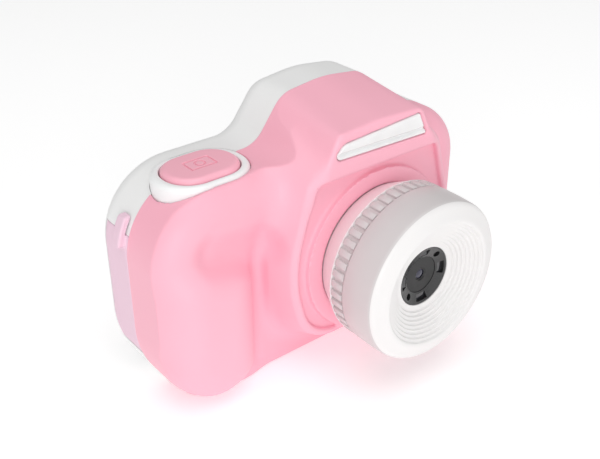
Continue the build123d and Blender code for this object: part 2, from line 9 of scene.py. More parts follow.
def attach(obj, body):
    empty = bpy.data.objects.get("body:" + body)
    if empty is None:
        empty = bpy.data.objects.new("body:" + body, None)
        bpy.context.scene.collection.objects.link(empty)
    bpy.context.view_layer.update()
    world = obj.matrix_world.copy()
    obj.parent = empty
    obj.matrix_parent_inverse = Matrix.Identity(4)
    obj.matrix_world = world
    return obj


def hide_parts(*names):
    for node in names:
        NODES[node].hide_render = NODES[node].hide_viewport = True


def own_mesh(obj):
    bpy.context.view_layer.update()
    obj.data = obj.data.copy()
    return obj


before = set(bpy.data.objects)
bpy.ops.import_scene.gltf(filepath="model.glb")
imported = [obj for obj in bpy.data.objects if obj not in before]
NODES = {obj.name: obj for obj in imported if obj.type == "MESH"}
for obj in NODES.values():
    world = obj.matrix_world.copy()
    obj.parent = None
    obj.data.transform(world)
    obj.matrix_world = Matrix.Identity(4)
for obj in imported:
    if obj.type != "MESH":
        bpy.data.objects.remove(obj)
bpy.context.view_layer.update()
MM = 0.001

# ---------------------------------------------------------------- driving sizes, in millimetres
LENS_Z = 28.1
FRONT_DEPTH = 10.3
FRONT_ROUNDING = 7.0
HUMP_DEPTH = 20.3
HUMP_ROUNDING = 0.8
BLOCK_DEPTH = 19.7
BLOCK_ROUNDING = 1.2
RECESS_DEPTH = 1.1
RIM_WIDTH = 1.7
GRIP_DEPTH = 17.2
GRIP_ROUNDING = 8.4
POD_DEPTH = 13.6
POD_ROUNDING = 6.6
FLANK_START = 8.0
FLANK_RUN = 4.2
FLANK_SLOPE = 0.92                        # keeps the distance true on the leaning flanks of the block
LENS_HOLE = 15.7
LENS_HOLE_GAP = 0.4
LENS_HOLE_BOTTOM = 12.0                   # forward distance at which the lens hole stops
FLASH_BOTTOM = 16.5                       # the same for the flash pocket
BEZEL_WELL_Z = 40.0                       # height at which the pocket for the shutter bezel stops
COLLAR_RADIUS = 20.1
COLLAR_DEPTH = 19.9
# Widths of the soft blends where the forms of the front shell meet.
BLEND = {"hump": 10.0, "slab": 5.0, "block": 4.0, "grip": 2.2, "notch": 3.2, "gutter": 1.4, "pad": 3.4,
         "recess": 0.9, "collar": 0.8, "base": 1.6, "lens_hole": 0.4, "flash": 0.5, "bezel": 0.4}
GRID = 0.42        # spacing of the cells that the front shell is meshed from

# Corners of the outlines as (x, z, radius), the same as in the CAD part.
SLAB = [(-53.0, -5.5, 24), (38.2, -5.5, 19), (38.2, 49.4, 14), (19.4, 52.8, 20), (-53.0, 52.8, 17)]
WHOLE = [(-53.0, -5.5, 24), (38.2, -5.5, 19), (38.2, 49.4, 14), (19.4, 52.8, 7), (11.8, 62.9, 7),
         (0.0, 64.3, 30), (-11.8, 62.9, 7), (-19.4, 52.8, 7), (-53.0, 52.8, 17)]
HUMP_BACK = [(-24.0, 44, 2), (24.0, 44, 2), (19.8, 53.0, 7), (11.8, 62.9, 7), (0.0, 64.3, 30),
             (-11.8, 62.9, 7), (-19.8, 53.0, 7)]
HUMP_FRONT = [(-17.4, 44, 2), (17.4, 44, 2), (15.6, 52.8, 3), (12.2, 59.8, 2.5), (0.0, 60.4, 30),
              (-12.2, 59.8, 2.5), (-15.6, 52.8, 3)]
BLOCK = [(-20.0, 9.4, 11.5), (20.0, 9.4, 11.5), (25.2, 29.0, 31), (18.6, 51.9, 4.5), (-18.6, 51.9, 4.5),
         (-25.2, 29.0, 31)]
GRIP = [(-52.7, 9.0, 15), (-42.5, -0.4, 10), (-29.4, 3.3, 8.6), (-29.4, 33.6, 8.6), (-52.4, 43.4, 9)]
POD = [(-53.0, 14.0, 7), (-39.0, 14.0, 7), (-36.5, 36.8, 5), (-19.5, 39.4, 7), (-18.5, 52.8, 7),
       (-53.0, 52.8, 17)]
NOTCH = ((-28.6, 14.2, 35.8), (-40.0, 16.0, 39.2))       # centre line: x, forward distance, z
NOTCH_RADIUS = 3.5
GUTTER = ((-28.6, 11.7, 34.0), (-28.3, 11.7, 5.0))       # groove between the grip and the lens block
GUTTER_RADIUS = 1.9
PAD_TOP = 51.6                            # low step of the body round the shutter bezel
FLASH = [(-14.3, 54.1, 1.2), (13.9, 53.2, 0.5), (11.3, 58.9, 0.8), (-11.0, 57.6, 3.0)]
BEZEL_CENTRE = (-35.2, -2.4)
BEZEL_SIZE = (21.8, 16.6, 8.0)


# ---------------------------------------------------------------- distance fields
class Outline:
    """A closed outline of straight runs and round corners, which gives signed distances."""

    def __init__(self, corners):
        self.arcs = []
        self.runs = []
        self.turns = []
        points = [np.array(corner[:2], float) for corner in corners]
        starts, ends = [], []
        for index, corner in enumerate(corners):
            here, radius = points[index], corner[2]
            before = points[index - 1] - here
            after = points[(index + 1) % len(points)] - here
            before /= np.linalg.norm(before)
            after /= np.linalg.norm(after)
            half = math.acos(float(np.clip(before @ after, -1, 1))) / 2
            reach = radius / math.tan(half)
            middle = before + after
            centre = here + middle / np.linalg.norm(middle) * radius / math.sin(half)
            self.arcs.append((centre, radius, -middle / np.linalg.norm(middle), math.pi / 2 - half))
            self.turns.append(math.copysign(1, after[0] * before[1] - after[1] * before[0]))
            starts.append(here + before * reach)
            ends.append(here + after * reach)
        for index in range(len(corners)):
            self.runs.append((ends[index], starts[(index + 1) % len(corners)]))
        self.polygon = self._dense()

    def _dense(self, steps=64):
        dense = []
        for (centre, radius, outward, spread), turning in zip(self.arcs, self.turns):
            middle = math.atan2(outward[1], outward[0])
            for angle in np.linspace(middle - turning * spread, middle + turning * spread, steps):
                dense.append(centre + radius * np.array([math.cos(angle), math.sin(angle)]))
        return np.array(dense)

    def distance(self, x, z):
        """Signed distance, negative inside."""
        shape = np.broadcast(x, z).shape
        px = np.broadcast_to(x, shape).ravel().astype(float)
        pz = np.broadcast_to(z, shape).ravel().astype(float)
        best = np.full(px.shape, 1e9)
        for start, end in self.runs:
            step = end - start
            length = float(step @ step)
            if length < 1e-9:
                continue
            along = np.clip(((px - start[0]) * step[0] + (pz - start[1]) * step[1]) / length, 0, 1)
            away = np.hypot(px - start[0] - along * step[0], pz - start[1] - along * step[1])
            best = np.minimum(best, away)
        for centre, radius, outward, spread in self.arcs:
            dx, dz = px - centre[0], pz - centre[1]
            reach = np.hypot(dx, dz) + 1e-12
            within = (dx * outward[0] + dz * outward[1]) / reach >= math.cos(spread)
            best = np.where(within, np.minimum(best, np.abs(reach - radius)), best)
        inside = np.zeros(px.shape, bool)
        ring = self.polygon
        for (ax, az), (bx, bz) in zip(ring, np.roll(ring, -1, axis=0)):
            if az == bz:
                continue
            crosses = (az > pz) != (bz > pz)
            inside ^= crosses & (px < (bx - ax) * (pz - az) / (bz - az) + ax)
        return np.where(inside, -best, best).reshape(shape)


def union(a, b, soft):
    """Smooth union of two fields; soft is about twice the radius of the blend."""
    mix = np.clip(0.5 + 0.5 * (b - a) / soft, 0, 1)
    return b * (1 - mix) + a * mix - soft * mix * (1 - mix)


def common(a, b, soft):
    """Smooth intersection of two fields."""
    return -union(-a, -b, soft)


def cut(a, b, soft):
    """Field a with field b taken away."""
    return common(a, -b, soft)


def rounded_end(side, end, radius):
    """An extrusion whose end face is rounded into its sides."""
    a, b = side + radius, end + radius
    return np.minimum(np.maximum(a, b), 0) + np.hypot(np.maximum(a, 0), np.maximum(b, 0)) - radius


def oval(x, y, size, grow=0.0):
    """Distance to a rectangle with round corners round the shutter button, seen from above."""
    length, width, corner = size
    qx = np.abs(x - BEZEL_CENTRE[0]) - (length / 2 - corner)
    qy = np.abs(y - BEZEL_CENTRE[1]) - (width / 2 - corner)
    outside = np.hypot(np.maximum(qx, 0), np.maximum(qy, 0)) + np.minimum(np.maximum(qx, qy), 0)
    return outside - corner - grow


OUTLINES = {
    "slab": Outline(SLAB), "whole": Outline(WHOLE), "hump_back": Outline(HUMP_BACK),
    "hump_front": Outline(HUMP_FRONT), "block": Outline(BLOCK), "grip": Outline(GRIP),
    "pod": Outline(POD), "flash": Outline(FLASH),
}


def groove(x, deep, z, ends, radius):
    """Distance to a round-ended bar between two points, used to carve a soft groove."""
    start, end = np.array(ends[0]), np.array(ends[1])
    run = end - start
    along = (x - start[0]) * run[0] + (deep - start[1]) * run[1] + (z - start[2]) * run[2]
    along = np.clip(along / (run @ run), 0, 1)
    away = (x - start[0] - along * run[0]) ** 2 + (deep - start[1] - along * run[1]) ** 2
    away = away + (z - start[2] - along * run[2]) ** 2
    return np.sqrt(away) - radius


def front_field(x, y, z):
    """Signed distance of the front shell's outer form, in millimetres."""
    flat = {name: outline.distance(x, z) for name, outline in OUTLINES.items()}
    deep = -y
    slab = rounded_end(flat["slab"], deep - FRONT_DEPTH, FRONT_ROUNDING)
    pod = rounded_end(flat["pod"], deep - POD_DEPTH, POD_ROUNDING)
    grip = rounded_end(flat["grip"], deep - GRIP_DEPTH, GRIP_ROUNDING)
    share = np.clip(deep / HUMP_DEPTH, -0.2, 1.1)
    hump = (1 - share) * flat["hump_back"] + share * flat["hump_front"]
    hump = rounded_end(hump, deep - HUMP_DEPTH, HUMP_ROUNDING)
    spread = FLANK_RUN * np.clip((BLOCK_DEPTH - deep) / (BLOCK_DEPTH - FLANK_START), -0.1, 1)
    block = rounded_end((flat["block"] - spread) * FLANK_SLOPE, deep - BLOCK_DEPTH, BLOCK_ROUNDING)
    body = union(pod, hump, BLEND["hump"])
    body = union(body, slab, BLEND["slab"])
    body = union(body, block, BLEND["block"])
    body = union(body, grip, BLEND["grip"])
    body = cut(body, groove(x, deep, z, NOTCH, NOTCH_RADIUS), BLEND["notch"])
    body = cut(body, groove(x, deep, z, GUTTER, GUTTER_RADIUS), BLEND["gutter"])
    body = union(body, np.maximum(oval(x, y, BEZEL_SIZE, 0.2), z - PAD_TOP), BLEND["pad"])
    recess = np.maximum(flat["block"] + RIM_WIDTH, BLOCK_DEPTH - RECESS_DEPTH - deep)
    body = cut(body, recess, BLEND["recess"])
    radius = np.hypot(x, z - LENS_Z)
    body = union(body, np.maximum(radius - COLLAR_RADIUS, deep - COLLAR_DEPTH), BLEND["collar"])
    body = common(body, -z, BLEND["base"])
    body = np.maximum(body, flat["whole"])
    lens_hole = np.maximum(radius - LENS_HOLE - LENS_HOLE_GAP, LENS_HOLE_BOTTOM - deep)
    body = cut(body, lens_hole, BLEND["lens_hole"])
    body = cut(body, np.maximum(flat["flash"], FLASH_BOTTOM - deep), BLEND["flash"])
    return cut(body, np.maximum(oval(x, y, BEZEL_SIZE, 0.1), BEZEL_WELL_Z - z), BLEND["bezel"])


# ---------------------------------------------------------------- meshing a distance field
def surface_net(field, low, high, spacing):
    """Vertices and quads of a field's zero surface, from a grid of cells, smoothed onto the surface."""
    axes = [np.arange(a, b + spacing, spacing) for a, b in zip(low, high)]
    gx, gy, gz = axes
    flat = field(gx[:, None, None], gy[None, :, None], gz[None, None, :])
    values = np.broadcast_to(flat, (len(gx), len(gy), len(gz))).astype(np.float32)
    inside = values < 0
    cells = tuple(n - 1 for n in values.shape)
    total = np.zeros(cells + (3,), np.float32)
    count = np.zeros(cells, np.int16)
    for axis in range(3):
        first = [slice(None)] * 3
        second = [slice(None)] * 3
        first[axis], second[axis] = slice(0, -1), slice(1, None)
        a, b = values[tuple(first)], values[tuple(second)]
        crossing = (a < 0) != (b < 0)
        with np.errstate(divide="ignore", invalid="ignore"):
            part = np.where(crossing, a / (a - b), 0).astype(np.float32)
        others = [n for n in range(3) if n != axis]
        for shift_a in (0, 1):
            for shift_b in (0, 1):
                pick = [slice(None)] * 3
                for other, shift in zip(others, (shift_a, shift_b)):
                    pick[other] = slice(shift, shift + cells[other])
                hit = crossing[tuple(pick)]
                count += hit
                total[..., axis] += np.where(hit, part[tuple(pick)], 0)
                for other, shift in zip(others, (shift_a, shift_b)):
                    total[..., other] += np.where(hit, shift, 0)
    active = np.argwhere(count > 0)
    index = np.full(cells, -1, np.int64)
    index[tuple(active.T)] = np.arange(len(active))
    local = total[tuple(active.T)] / count[tuple(active.T)][:, None]
    points = (active + local) * spacing + np.array([axis[0] for axis in axes])
    quads = []
    for axis in range(3):
        u, v = (axis + 1) % 3, (axis + 2) % 3
        first = [slice(None)] * 3
        second = [slice(None)] * 3
        first[axis], second[axis] = slice(0, -1), slice(1, None)
        for other in (u, v):
            first[other] = second[other] = slice(1, -1)
        a, b = inside[tuple(first)], inside[tuple(second)]
        found = np.argwhere(a != b)
        leaving = a[tuple(found.T)]
        base = found.copy()
        base[:, u] += 1
        base[:, v] += 1
        corners = []
        for du, dv in ((-1, -1), (0, -1), (0, 0), (-1, 0)):
            corner = base.copy()
            corner[:, u] += du
            corner[:, v] += dv
            corners.append(index[tuple(corner.T)])
        quad = np.stack(corners, axis=1)
        quad[~leaving] = quad[~leaving][:, ::-1]
        quads.append(quad)
    quads = np.concatenate(quads)
    return settle(field, points, quads, spacing), quads


def gradient(field, points, step=0.02):
    """The field's value and slope at a list of points."""
    value = field(points[:, 0], points[:, 1], points[:, 2])
    slope = np.empty_like(points)
    for axis in range(3):
        shift = np.zeros(3)
        shift[axis] = step
        ahead, behind = points + shift, points - shift
        slope[:, axis] = (field(*ahead.T) - field(*behind.T)) / (2 * step)
    return value, slope


def settle(field, points, quads, spacing, rounds=3):
    """Evens the vertices out along the surface and moves them onto it."""
    edges = np.concatenate([quads[:, [0, 1]], quads[:, [1, 2]], quads[:, [2, 3]], quads[:, [3, 0]]])
    for turn in range(rounds):
        if turn:
            total = np.zeros_like(points)
            count = np.zeros(len(points))
            for a, b in ((0, 1), (1, 0)):
                for axis in range(3):
                    total[:, axis] += np.bincount(edges[:, a], points[edges[:, b], axis], len(points))
                count += np.bincount(edges[:, a], minlength=len(points))
            points = points + 0.5 * (total / np.maximum(count, 1)[:, None] - points)
        for _ in range(2):
            value, slope = gradient(field, points)
            length = np.maximum((slope ** 2).sum(axis=1), 0.05)
            move = -(value / length)[:, None] * slope
            size = np.linalg.norm(move, axis=1, keepdims=True)
            points = points + move * np.minimum(1, spacing / np.maximum(size, 1e-9))
    return points


def mesh_piece(name, points, faces, body, material, cad_nodes, slot):
    """A smooth mesh from points in millimetres, which rides on a body and stands for CAD nodes."""
    mesh = bpy.data.meshes.new(name)
    corners = [tuple(point) for point in np.asarray(points) * MM]
    mesh.from_pydata(corners, [], [tuple(map(int, face)) for face in faces])
    mesh.validate()
    mesh.materials.append(material)
    piece = bpy.data.objects.new(name, mesh)
    bpy.context.scene.collection.objects.link(piece)
    mesh.shade_smooth()
    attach(piece, body)
    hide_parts(*cad_nodes)
    return piece


def sharpen(piece, degrees=35):
    """Keeps edges sharper than an angle crisp and shades the rest smooth."""
    work = bmesh.new()
    work.from_mesh(piece.data)
    for edge in work.edges:
        if len(edge.link_faces) == 2:
            edge.smooth = edge.calc_face_angle() < math.radians(degrees)
    work.to_mesh(piece.data)
    work.free()
    return piece


# ---------------------------------------------------------------- materials
class Paint:
    """A small helper that builds one material's node tree."""

    def __init__(self, name):
        self.material = bpy.data.materials.new(name)
        self.material.use_nodes = True
        self.tree = self.material.node_tree
        self.shader = self.tree.nodes["Principled BSDF"]
        self.place = self.node("ShaderNodeTexCoord").outputs["Object"]

    def node(self, kind, **values):
        """A new shader node with some of its properties set."""
        made = self.tree.nodes.new(kind)
        for key, value in values.items():
            setattr(made, key, value)
        return made

    def link(self, source, target):
        """Joins an output to an input."""
        self.tree.links.new(source, target)

    def noise(self, scale, detail=3.0, rough=0.5, stretch=None):
        """Noise with scale in features per millimetre, stretched along the axes where asked."""
        made = self.node("ShaderNodeTexNoise")
        made.inputs["Scale"].default_value = scale * 1000
        made.inputs["Detail"].default_value = detail
        made.inputs["Roughness"].default_value = rough
        source = self.place
        if stretch:
            mapping = self.node("ShaderNodeMapping")
            mapping.inputs["Scale"].default_value = stretch
            self.link(self.place, mapping.inputs["Vector"])
            source = mapping.outputs["Vector"]
        self.link(source, made.inputs["Vector"])
        return made.outputs["Fac"]

    def band(self, source, low, high, out_low, out_high):
        """Maps a range of one value to another."""
        made = self.node("ShaderNodeMapRange")
        made.inputs["From Min"].default_value = low
        made.inputs["From Max"].default_value = high
        made.inputs["To Min"].default_value = out_low
        made.inputs["To Max"].default_value = out_high
        self.link(source, made.inputs["Value"])
        return made.outputs["Result"]

    def blend(self, factor, first, second):
        """Mixes two colours, or outputs that give colours, by a factor."""
        made = self.node("ShaderNodeMix", data_type="RGBA")
        self.link(factor, made.inputs[0])
        for value, target in ((first, made.inputs[6]), (second, made.inputs[7])):
            if isinstance(value, (tuple, list)):
                target.default_value = (*value, 1)
            else:
                self.link(value, target)
        return made.outputs[2]

    def bump(self, height, strength, distance, normal=None):
        """Surface relief from a height, with its depth in millimetres."""
        made = self.node("ShaderNodeBump")
        made.inputs["Strength"].default_value = strength
        made.inputs["Distance"].default_value = distance * MM
        self.link(height, made.inputs["Height"])
        if normal:
            self.link(normal, made.inputs["Normal"])
        return made.outputs["Normal"]

    def set(self, **values):
        """Sets constants on the main shader; an underscore stands for a space."""
        for key, value in values.items():
            self.shader.inputs[key.replace("_", " ")].default_value = value


def moulded(name, colour, deep, roughness=0.42, grain=2.2, grain_depth=0.02, worn=None, coat=0.0):
    """Injection-moulded plastic: fine grain, slow colour drift, light rubbing and hairline scratches."""
    paint = Paint(name)
    drift = paint.noise(0.02, 2.0)
    speck = paint.noise(0.6, 4.0, 0.6)
    worn = worn or [min(1, c * 1.08) for c in colour]
    base = paint.blend(paint.band(drift, 0.35, 0.65, 0, 1), colour, deep)
    rubbed = paint.blend(paint.band(speck, 0.62, 0.78, 0, 0.22), base, worn)
    paint.link(rubbed, paint.shader.inputs["Base Color"])
    hair = paint.noise(0.25, 2.0, 0.6, (1.0, 14.0, 1.6))
    gloss = paint.band(hair, 0.45, 0.75, roughness, roughness + 0.09)
    paint.link(gloss, paint.shader.inputs["Roughness"])
    fine = paint.bump(paint.noise(grain, 3.0, 0.55), 0.35, grain_depth)
    paint.link(paint.bump(hair, 0.12, 0.012, fine), paint.shader.inputs["Normal"])
    paint.set(IOR=1.47, Coat_Weight=coat, Coat_Roughness=0.18)
    return paint.material


def metal(name, colour, roughness, brush=(1.0, 1.0, 20.0)):
    """Plated or brushed metal with a directional finish."""
    paint = Paint(name)
    lines = paint.noise(0.9, 4.0, 0.6, brush)
    tint = [c * 0.82 for c in colour]
    brushed = paint.blend(paint.band(lines, 0.3, 0.7, 0, 1), tint, colour)
    gloss = paint.band(lines, 0.3, 0.7, roughness * 0.8, roughness * 1.3)
    paint.link(brushed, paint.shader.inputs["Base Color"])
    paint.link(gloss, paint.shader.inputs["Roughness"])
    paint.link(paint.bump(lines, 0.1, 0.01), paint.shader.inputs["Normal"])
    paint.set(Metallic=1.0)
    return paint.material


def clear(name, colour, alpha, roughness=0.04):
    """A thin clear or smoked plastic cover with faint moulding haze."""
    paint = Paint(name)
    haze = paint.noise(0.15, 3.0, 0.5)
    tint = [c * 0.93 for c in colour]
    clouded = paint.blend(paint.band(haze, 0.35, 0.65, 0, 1), colour, tint)
    gloss = paint.band(haze, 0.35, 0.7, roughness, roughness + 0.05)
    paint.link(clouded, paint.shader.inputs["Base Color"])
    paint.link(gloss, paint.shader.inputs["Roughness"])
    paint.link(paint.bump(haze, 0.05, 0.02), paint.shader.inputs["Normal"])
    paint.set(Alpha=alpha, IOR=1.5, Coat_Weight=0.5, Coat_Roughness=0.03)
    return paint.material


def board(name, colour):
    """Solder mask over copper tracks, with pads."""
    paint = Paint(name)
    tracks = paint.node("ShaderNodeTexBrick")
    tracks.inputs["Scale"].default_value = 260
    tracks.inputs["Mortar Size"].default_value = 0.012
    tracks.inputs["Color1"].default_value = (*colour, 1)
    tracks.inputs["Color2"].default_value = (*[c * 0.75 for c in colour], 1)
    tracks.inputs["Mortar"].default_value = (*[min(1, c * 2.1) for c in colour], 1)
    swirl = paint.node("ShaderNodeMapping")
    swirl.inputs["Rotation"].default_value = (math.radians(90), 0, 0)
    paint.link(paint.place, swirl.inputs["Vector"])
    paint.link(swirl.outputs["Vector"], tracks.inputs["Vector"])
    pads = paint.band(paint.noise(0.5, 1.0), 0.68, 0.7, 0, 1)
    plated = paint.blend(pads, tracks.outputs["Color"], (0.75, 0.62, 0.3))
    paint.link(plated, paint.shader.inputs["Base Color"])
    paint.link(paint.band(pads, 0, 1, 0.35, 0.22), paint.shader.inputs["Roughness"])
    paint.link(paint.bump(tracks.outputs["Fac"], 0.2, 0.03), paint.shader.inputs["Normal"])
    return paint.material


PINK = moulded("pink_plastic", (0.97, 0.475, 0.58), (0.95, 0.45, 0.555), 0.44, worn=(1.0, 0.53, 0.63))
PINK_BUTTON = moulded("pink_button", (0.99, 0.49, 0.59), (0.96, 0.465, 0.565), 0.36,
                      worn=(1.0, 0.54, 0.64))
WHITE = moulded("white_plastic", (0.88, 0.88, 0.875), (0.855, 0.855, 0.85), 0.40)
WHITE_BEZEL = moulded("white_bezel", (0.93, 0.935, 0.935), (0.91, 0.915, 0.915), 0.32)
# The barrel's side is a darker grey copy of its front colour (FACE): that darker side colour is painted
# shade.
BARREL_SHADED_SIDE = moulded("barrel_side_painted_shade", (0.66, 0.63, 0.63), (0.63, 0.60, 0.60), 0.36, grain_depth=0.012)
FACE = moulded("barrel_face_plastic", (0.84, 0.825, 0.82), (0.82, 0.805, 0.80), 0.34,
               grain_depth=0.012)
RING = moulded("ring_plastic", (0.66, 0.61, 0.615), (0.62, 0.575, 0.58), 0.42)
PALE = moulded("pale_ring_plastic", (0.93, 0.88, 0.885), (0.90, 0.85, 0.86), 0.34)
LILAC = moulded("lilac_rubber", (0.86, 0.62, 0.73), (0.83, 0.585, 0.70), 0.58, grain=3.0,
                grain_depth=0.03)
BLACK_GLOSS = moulded("black_gloss", (0.012, 0.012, 0.013), (0.02, 0.02, 0.021), 0.16, grain_depth=0.004,
                      worn=(0.05, 0.05, 0.05), coat=0.4)
BLACK = moulded("black_plastic", (0.012, 0.012, 0.013), (0.02, 0.02, 0.02), 0.42,
                worn=(0.05, 0.05, 0.05))
SMOKED = clear("smoked_window", (0.02, 0.02, 0.024), 1.0, 0.05)
CLEAR = clear("clear_window", (0.985, 0.99, 0.99), 0.92)
LENS_GLASS = clear("lens_glass", (0.03, 0.03, 0.06), 1.0, 0.02)
SILVER = moulded("silver_reflector", (0.92, 0.93, 0.93), (0.88, 0.89, 0.89), 0.2, grain_depth=0.008,
                 coat=0.6)
STEEL = metal("plated_steel", (0.62, 0.61, 0.6), 0.3)
SPRING = metal("spring_steel", (0.55, 0.55, 0.56), 0.28)
BOARD = board("circuit_board", (0.02, 0.11, 0.05))
FLEX = clear("flex_film", (0.62, 0.27, 0.05), 1.0, 0.25)
BATTERY = moulded("battery_wrap", (0.05, 0.14, 0.42), (0.04, 0.12, 0.36), 0.22, grain_depth=0.01)
LED = clear("led_phosphor", (0.85, 0.72, 0.25), 1.0, 0.2)

for node_name, material in {
    "back_shell": WHITE, "shutter_bezel": WHITE_BEZEL, "shutter_button": PINK_BUTTON,
    "shutter_spring": SPRING, "shutter_switch": BLACK, "shutter_board": BOARD, "flash_window": CLEAR,
    "flash_reflector": SILVER, "flash_board": BOARD, "flash_leds": LED, "lens_base_ring": PALE,
    "lens_lock_ring": WHITE, "focus_ring": RING, "lens_barrel": BARREL_SHADED_SIDE, "lens_bezel": BLACK_GLOSS,
    "light_windows": SMOKED, "bezel_screws": BLACK, "lens_cover": BLACK, "objective_lens": LENS_GLASS,
    "lens_holder": BLACK, "image_sensor": SMOKED, "sensor_board": BOARD, "sensor_flex": FLEX,
    "main_board": BOARD, "main_chip": BLACK, "memory_chip": BLACK, "battery": BATTERY, "speaker": BLACK,
    "lcd_panel": STEEL, "lcd_flex": FLEX, "screen_window": SMOKED, "key_board": BOARD,
    "key_switches": BLACK, "key_ok": PINK_BUTTON, "key_up": PINK_BUTTON, "key_down": PINK_BUTTON,
    "key_left": PINK_BUTTON, "key_right": PINK_BUTTON, "key_mode": PINK_BUTTON,
    "key_power": PINK_BUTTON, "usb_socket": STEEL, "usb_tongue": BLACK, "card_socket": STEEL,
    "memory_card": BLACK, "port_door": LILAC, "housing_screws": STEEL,
}.items():
    mesh = NODES[node_name].data
    mesh.materials.clear()
    mesh.materials.append(material)

# ---------------------------------------------------------------- front shell
SHELL_LOW = (-54.2, -21.4, -1.2)          # corners of the box that is searched for the shell's surface
SHELL_HIGH = (39.3, 1.6, 65.2)
SEAM_GAP = 0.06                           # half of the gap at the parting line
LIP_WIDTH = 1.6                           # wall that shows at the parting line
SHELL_MIDDLE = (-0.008, 0.027)            # x and z of the shell's middle, in metres

points, quads = surface_net(front_field, SHELL_LOW, SHELL_HIGH, GRID)
shell = mesh_piece("front_shell_skin", points, quads, "housing", PINK, ["front_shell"], "pink_shell")
work = bmesh.new()
work.from_mesh(shell.data)
bmesh.ops.bisect_plane(work, geom=work.verts[:] + work.edges[:] + work.faces[:], dist=1e-7,
                       plane_co=(0, -SEAM_GAP * MM, 0), plane_no=(0, 1, 0), clear_outer=True)
rim = [edge for edge in work.edges if edge.is_boundary]
grown = bmesh.ops.extrude_edge_only(work, edges=rim)
for vert in [item for item in grown["geom"] if isinstance(item, bmesh.types.BMVert)]:
    middle = Vector((SHELL_MIDDLE[0], vert.co.y, SHELL_MIDDLE[1]))
    vert.co += (middle - vert.co).normalized() * LIP_WIDTH * MM
bmesh.ops.recalc_face_normals(work, faces=work.faces[:])
work.to_mesh(shell.data)
work.free()
shell.data.shade_smooth()
sharpen(shell, 50)

# ---------------------------------------------------------------- turned lens pieces
def curve(start, control, end, steps):
    """Points along a quadratic curve, without its first point."""
    start, control, end = np.array(start), np.array(control), np.array(end)
    shares = np.linspace(0, 1, steps + 1)[1:, None]
    bend = 2 * shares * (1 - shares) * control
    return [tuple(point) for point in (1 - shares) ** 2 * start + bend + shares ** 2 * end]


def turned(name, profile, material, node, slot, body="housing", segments=192, lift=None):
    """A closed (forward distance, radius) profile turned about the lens axis.

    lift gives an extra radius for each profile point and angle.
    """
    angles = np.linspace(0, 2 * math.pi, segments, endpoint=False)
    points = []
    for index, (deep, radius) in enumerate(profile):
        extra = lift(index, angles) if lift else np.zeros(segments)
        points.append(np.stack([(radius + extra) * np.cos(angles), np.full(segments, -deep),
                                LENS_Z + (radius + extra) * np.sin(angles)], axis=1))
    faces = []
    for row in range(len(profile)):
        following = (row + 1) % len(profile)
        for step in range(segments):
            across = (step + 1) % segments
            faces.append((row * segments + step, row * segments + across,
                          following * segments + across, following * segments + step))
    piece = mesh_piece(name, np.concatenate(points), faces, body, material, [node], slot)
    work = bmesh.new()
    work.from_mesh(piece.data)
    bmesh.ops.recalc_face_normals(work, faces=work.faces[:])
    work.to_mesh(piece.data)
    work.free()
    return sharpen(piece, 38)


# Each profile is a list of (forward distance, radius).
BASE_PROFILE = [(16.25, 13.7), (16.25, 15.55), (19.95, 15.55), (20.0, 16.15), (20.2, 16.35),
                (25.4, 18.85), (25.62, 19.0), (25.75, 19.05), (25.8, 18.95), (25.8, 17.2), (33.0, 17.2),
                (33.0, 15.85), (24.5, 15.85), (20.5, 13.7)]
turned("lens_base", BASE_PROFILE, PALE, "lens_base_ring", "pale_ring")

TEETH = 48
TOOTH_SAMPLES = 16
TOOTH_SHAPE = np.interp(np.arange(TOOTH_SAMPLES), [0, 1, 2, 9, 10, 11, 16], [0, 0.85, 1, 1, 0.85, 0, 0])
RING_PROFILE = [(25.95, 17.35), (25.95, 18.45), (26.0, 18.52), (26.1, 18.52), (26.25, 18.52),
                (29.3, 18.52), (29.42, 18.52), (29.5, 18.52), (29.55, 18.45), (29.55, 17.35)]
RING_LIFT = [0, 0, 0, 0.52, 0.6, 0.6, 0.52, 0, 0, 0]        # height of the teeth at each profile point


def ring_lift(index, angles):
    """The teeth of the turning ring."""
    return RING_LIFT[index] * np.tile(TOOTH_SHAPE, TEETH)


turned("turning_ring", RING_PROFILE, RING, "focus_ring", "lens_grey", "ring", TEETH * TOOTH_SAMPLES,
       ring_lift)

DISH_STEPS = 8
DISH_RIM = np.array((39.6, 14.4))
DISH_FLOOR = np.array((35.35, 7.9))


def dish_profile():
    """The stepped funnel at the front of the barrel, each ledge with a soft edge."""
    step = (DISH_FLOOR - DISH_RIM) / DISH_STEPS
    points = []
    for ledge in range(DISH_STEPS):
        outer = DISH_RIM + ledge * step
        corner = np.array((outer[0] + step[0], outer[1] + 0.18 * step[1]))
        points.append(tuple(outer + (-0.04, -0.02)))
        points.append(tuple(0.85 * corner + 0.15 * outer))
        points.append(tuple(corner + (0.0, -0.08)))
        points.append(tuple(outer + step + (0.0, 0.06)))
    return points


BARREL_PROFILE = [(29.7, 17.35), (29.7, 18.95), (29.8, 19.1), (30.0, 19.17), (34.0, 19.15),
                  (37.2, 18.98)]
BARREL_PROFILE += curve((37.2, 18.98), (38.45, 18.9), (38.8, 17.75), 8)
BARREL_PROFILE += curve((38.8, 17.75), (39.25, 16.4), (39.7, 15.3), 4)
BARREL_PROFILE += curve((39.7, 15.3), (39.82, 14.7), (39.6, 14.42), 4)
BARREL_PROFILE += dish_profile()
BARREL_PROFILE += [(35.3, 7.12), (33.45, 7.12), (33.45, 8.6), (37.5, 15.0), (36.9, 17.35)]
barrel = turned("barrel", BARREL_PROFILE, BARREL_SHADED_SIDE, "lens_barrel", "lens_white")
barrel.data.materials.append(FACE)
FACE_START = 38.0                         # forward distance from which the barrel takes its lighter front colour; behind it the side keeps the darker grey, which is painted shade
DISH_START = 33.0                         # the same inside the dish
DISH_RADIUS = 14.5
